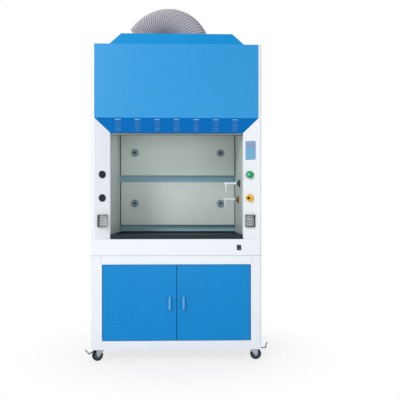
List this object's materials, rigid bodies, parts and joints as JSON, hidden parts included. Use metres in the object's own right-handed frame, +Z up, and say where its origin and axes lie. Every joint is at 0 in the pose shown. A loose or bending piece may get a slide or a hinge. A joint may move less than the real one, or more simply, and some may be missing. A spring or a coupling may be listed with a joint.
{
  "type": "fume hood",
  "caption": "Floor-standing laboratory fume hood with a two-leaf sliding sash, dished worktop, baffled work chamber, base cupboard, exhaust blower with ribbed duct and braked casters",
  "frame": {"origin": "centre of the bounding box on the floor, under the middle of the cabinet", "axes": "+Z up, +Y to the rear, so the work opening faces -Y, +X to the right of the user"},
  "size_m": [1.304, 0.856, 2.6595],
  "materials": {
    "shell_white": "satin powder coat",
    "panel_blue": "satin powder coat",
    "slope_blue": "satin powder coat",
    "door_blue": "satin powder coat",
    "cover_blue": "satin powder coat",
    "liner_grey": "smooth laminate",
    "baffle_grey": "smooth laminate",
    "worktop_dark": "matt glazed",
    "glass": "clear tempered",
    "rail_metal": "satin anodised",
    "guide_plastic": "extruded",
    "steel": "zinc plated",
    "weight_steel": "painted",
    "cable_steel": "stranded",
    "tyre": "smooth tread",
    "duct_film": "ribbed translucent film",
    "blower_shell": "grey coat",
    "motor_grey": "painted",
    "lamp_white": "diffuse",
    "plug_black": "moulded",
    "socket_grey": "moulded",
    "lid_clear": "smoked moulding",
    "knob_green": "moulded",
    "knob_yellow": "moulded",
    "handle_blue": "moulded",
    "panel_grey": "membrane",
    "switch_black": "moulded",
    "rocker_dark": "moulded",
    "tap_coat": "epoxy coat",
    "brass": "turned",
    "baffle_knob": "moulded",
    "cup_plastic": "moulded polypropylene",
    "pedal_steel": "coated"
  },
  "bodies": {
    "cabinet": {"base_front_frame": "shell_white", "base_wall_panels": "shell_white", "base_floor_tray": "shell_white", "door_pivot_pins": "steel", "caster_plates": "steel", "apron": "shell_white", "corner_post_left": "shell_white", "corner_post_right": "shell_white", "front_panel": "panel_blue", "louvre_panel": "slope_blue", "outer_wall_panels": "shell_white", "roof_panel": "shell_white", "roof_cover": "cover_blue", "worktop": "worktop_dark", "cup_and_drain": "cup_plastic", "liner_wall_panels": "liner_grey", "liner_ceiling": "liner_grey", "baffle_upper": "baffle_grey", "baffle_lower": "baffle_grey", "baffle_knobs": "baffle_knob", "sash_guides": "guide_plastic", "sash_cables": "cable_steel", "blower_housing": "blower_shell", "blower_motor": "motor_grey", "flexible_duct": "duct_film", "ceiling_lamp": "lamp_white", "switch_housing": "switch_black", "control_panel": "panel_grey", "service_taps": "tap_coat", "socket_boxes": "socket_grey", "hole_plugs": "plug_black", "rear_service_inlets": "brass"},
    "sash_lower": {"sash_lower_glass": "glass", "sash_rail": "rail_metal"},
    "sash_upper": {"sash_upper_glass": "glass"},
    "counterweight_left": {"counterweight_left": "weight_steel"},
    "counterweight_right": {"counterweight_right": "weight_steel"},
    "pulley_shaft": {"pulley_shaft": "steel"},
    "door_left": {"cupboard_door_left": "door_blue", "door_handle_left": "handle_blue"},
    "door_right": {"cupboard_door_right": "door_blue", "door_handle_right": "handle_blue"},
    "gas_knob": {"valve_knob_gas": "knob_green"},
    "water_knob": {"valve_knob_water": "knob_yellow"},
    "rocker": {"switch_rocker": "rocker_dark"},
    "lid_left": {"socket_lid_left": "lid_clear"},
    "lid_right": {"socket_lid_right": "lid_clear"},
    "impeller": {"blower_impeller": "steel"},
    "caster_front_right": {"caster_fork_front_right": "steel"},
    "wheel_front_right": {"caster_wheel_front_right": "tyre"},
    "brake_front_right": {"caster_brake_front_right": "pedal_steel"},
    "caster_front_left": {"caster_fork_front_left": "steel"},
    "wheel_front_left": {"caster_wheel_front_left": "tyre"},
    "brake_front_left": {"caster_brake_front_left": "pedal_steel"},
    "caster_rear_right": {"caster_fork_rear_right": "steel"},
    "wheel_rear_right": {"caster_wheel_rear_right": "tyre"},
    "brake_rear_right": {"caster_brake_rear_right": "pedal_steel"},
    "caster_rear_left": {"caster_fork_rear_left": "steel"},
    "wheel_rear_left": {"caster_wheel_rear_left": "tyre"},
    "brake_rear_left": {"caster_brake_rear_left": "pedal_steel"}
  },
  "joints": [
    {"name": "sash_slide", "type": "slide", "parent": "cabinet", "child": "sash_lower", "axis": [0, 0, -1], "range_m": [0, 0.715], "deforming": ["sash_cables"]},
    {"name": "upper_sash_slide", "type": "slide", "parent": "cabinet", "child": "sash_upper", "axis": [0, 0, -1], "range_m": [0, 0.3575]},
    {"name": "left_weight_slide", "type": "slide", "parent": "cabinet", "child": "counterweight_left", "axis": [0, 0, 1], "range_m": [0, 0.715], "deforming": ["sash_cables"]},
    {"name": "right_weight_slide", "type": "slide", "parent": "cabinet", "child": "counterweight_right", "axis": [0, 0, 1], "range_m": [0, 0.715], "deforming": ["sash_cables"]},
    {"name": "pulley_turn", "type": "hinge", "parent": "cabinet", "child": "pulley_shaft", "pos_m": [0, -0.278, 2.15], "axis": [1, 0, 0], "range_deg": [0, 1080]},
    {"name": "left_door_hinge", "type": "hinge", "parent": "cabinet", "child": "door_left", "pos_m": [-0.5135, -0.391, 0.417], "axis": [0, 0, -1], "range_deg": [0, 100]},
    {"name": "right_door_hinge", "type": "hinge", "parent": "cabinet", "child": "door_right", "pos_m": [0.5135, -0.391, 0.417], "axis": [0, 0, 1], "range_deg": [0, 100]},
    {"name": "gas_valve_turn", "type": "hinge", "parent": "cabinet", "child": "gas_knob", "pos_m": [0.527, -0.37, 1.321], "axis": [-0.4997, -0.8662, 0], "range_deg": [0, 90]},
    {"name": "water_valve_turn", "type": "hinge", "parent": "cabinet", "child": "water_knob", "pos_m": [0.527, -0.37, 1.155], "axis": [-0.4997, -0.8662, 0], "range_deg": [0, 270]},
    {"name": "switch_rock", "type": "hinge", "parent": "cabinet", "child": "rocker", "pos_m": [0.44, -0.401, 0.805], "axis": [1, 0, 0], "range_deg": [-14, 0]},
    {"name": "left_lid_hinge", "type": "hinge", "parent": "cabinet", "child": "lid_left", "pos_m": [-0.518, -0.38559, 1.032], "axis": [-0.8662, -0.4997, 0], "range_deg": [0, 110]},
    {"name": "right_lid_hinge", "type": "hinge", "parent": "cabinet", "child": "lid_right", "pos_m": [0.518, -0.38559, 1.032], "axis": [-0.8662, 0.4997, 0], "range_deg": [0, 110]},
    {"name": "impeller_spin", "type": "hinge", "parent": "cabinet", "child": "impeller", "pos_m": [0.042, 0, 1.93], "axis": [0, 1, 0], "continuous": true},
    {"name": "front_right_swivel", "type": "hinge", "parent": "cabinet", "child": "caster_front_right", "pos_m": [0.536, -0.338, 0.094], "axis": [0, 0, 1], "range_deg": [-115, 25]},
    {"name": "front_right_wheel_spin", "type": "hinge", "parent": "caster_front_right", "child": "wheel_front_right", "pos_m": [0.566, -0.338, 0.039], "axis": [0, 1, 0], "continuous": true},
    {"name": "front_right_brake_press", "type": "hinge", "parent": "caster_front_right", "child": "brake_front_right", "pos_m": [0.574, -0.338, 0.084], "axis": [0, 1, 0], "range_deg": [0, 25]},
    {"name": "front_left_swivel", "type": "hinge", "parent": "cabinet", "child": "caster_front_left", "pos_m": [-0.536, -0.338, 0.094], "axis": [0, 0, 1], "range_deg": [-55, 85]},
    {"name": "front_left_wheel_spin", "type": "hinge", "parent": "caster_front_left", "child": "wheel_front_left", "pos_m": [-0.56198, -0.353, 0.039], "axis": [0.5, -0.866, 0], "continuous": true},
    {"name": "front_left_brake_press", "type": "hinge", "parent": "caster_front_left", "child": "brake_front_left", "pos_m": [-0.56891, -0.357, 0.084], "axis": [0.5, -0.866, 0], "range_deg": [-25, 0]},
    {"name": "rear_right_swivel", "type": "hinge", "parent": "cabinet", "child": "caster_rear_right", "pos_m": [0.536, 0.338, 0.094], "axis": [0, 0, 1], "range_deg": [-55, 85]},
    {"name": "rear_right_wheel_spin", "type": "hinge", "parent": "caster_rear_right", "child": "wheel_rear_right", "pos_m": [0.56198, 0.353, 0.039], "axis": [-0.5, 0.866, 0], "continuous": true},
    {"name": "rear_right_brake_press", "type": "hinge", "parent": "caster_rear_right", "child": "brake_rear_right", "pos_m": [0.56891, 0.357, 0.084], "axis": [-0.5, 0.866, 0], "range_deg": [-25, 0]},
    {"name": "rear_left_swivel", "type": "hinge", "parent": "cabinet", "child": "caster_rear_left", "pos_m": [-0.536, 0.338, 0.094], "axis": [0, 0, 1], "range_deg": [-115, 25]},
    {"name": "rear_left_wheel_spin", "type": "hinge", "parent": "caster_rear_left", "child": "wheel_rear_left", "pos_m": [-0.566, 0.338, 0.039], "axis": [0, -1, 0], "continuous": true},
    {"name": "rear_left_brake_press", "type": "hinge", "parent": "caster_rear_left", "child": "brake_rear_left", "pos_m": [-0.574, 0.338, 0.084], "axis": [0, -1, 0], "range_deg": [0, 25]}
  ],
  "couplings": [
    {"joint": "upper_sash_slide", "follows": "sash_slide", "ratio": 0.5},
    {"joint": "left_weight_slide", "follows": "sash_slide", "ratio": 1},
    {"joint": "right_weight_slide", "follows": "sash_slide", "ratio": 1},
    {"joint": "pulley_turn", "follows": "sash_slide", "rad_per_m": 26.316}
  ]
}
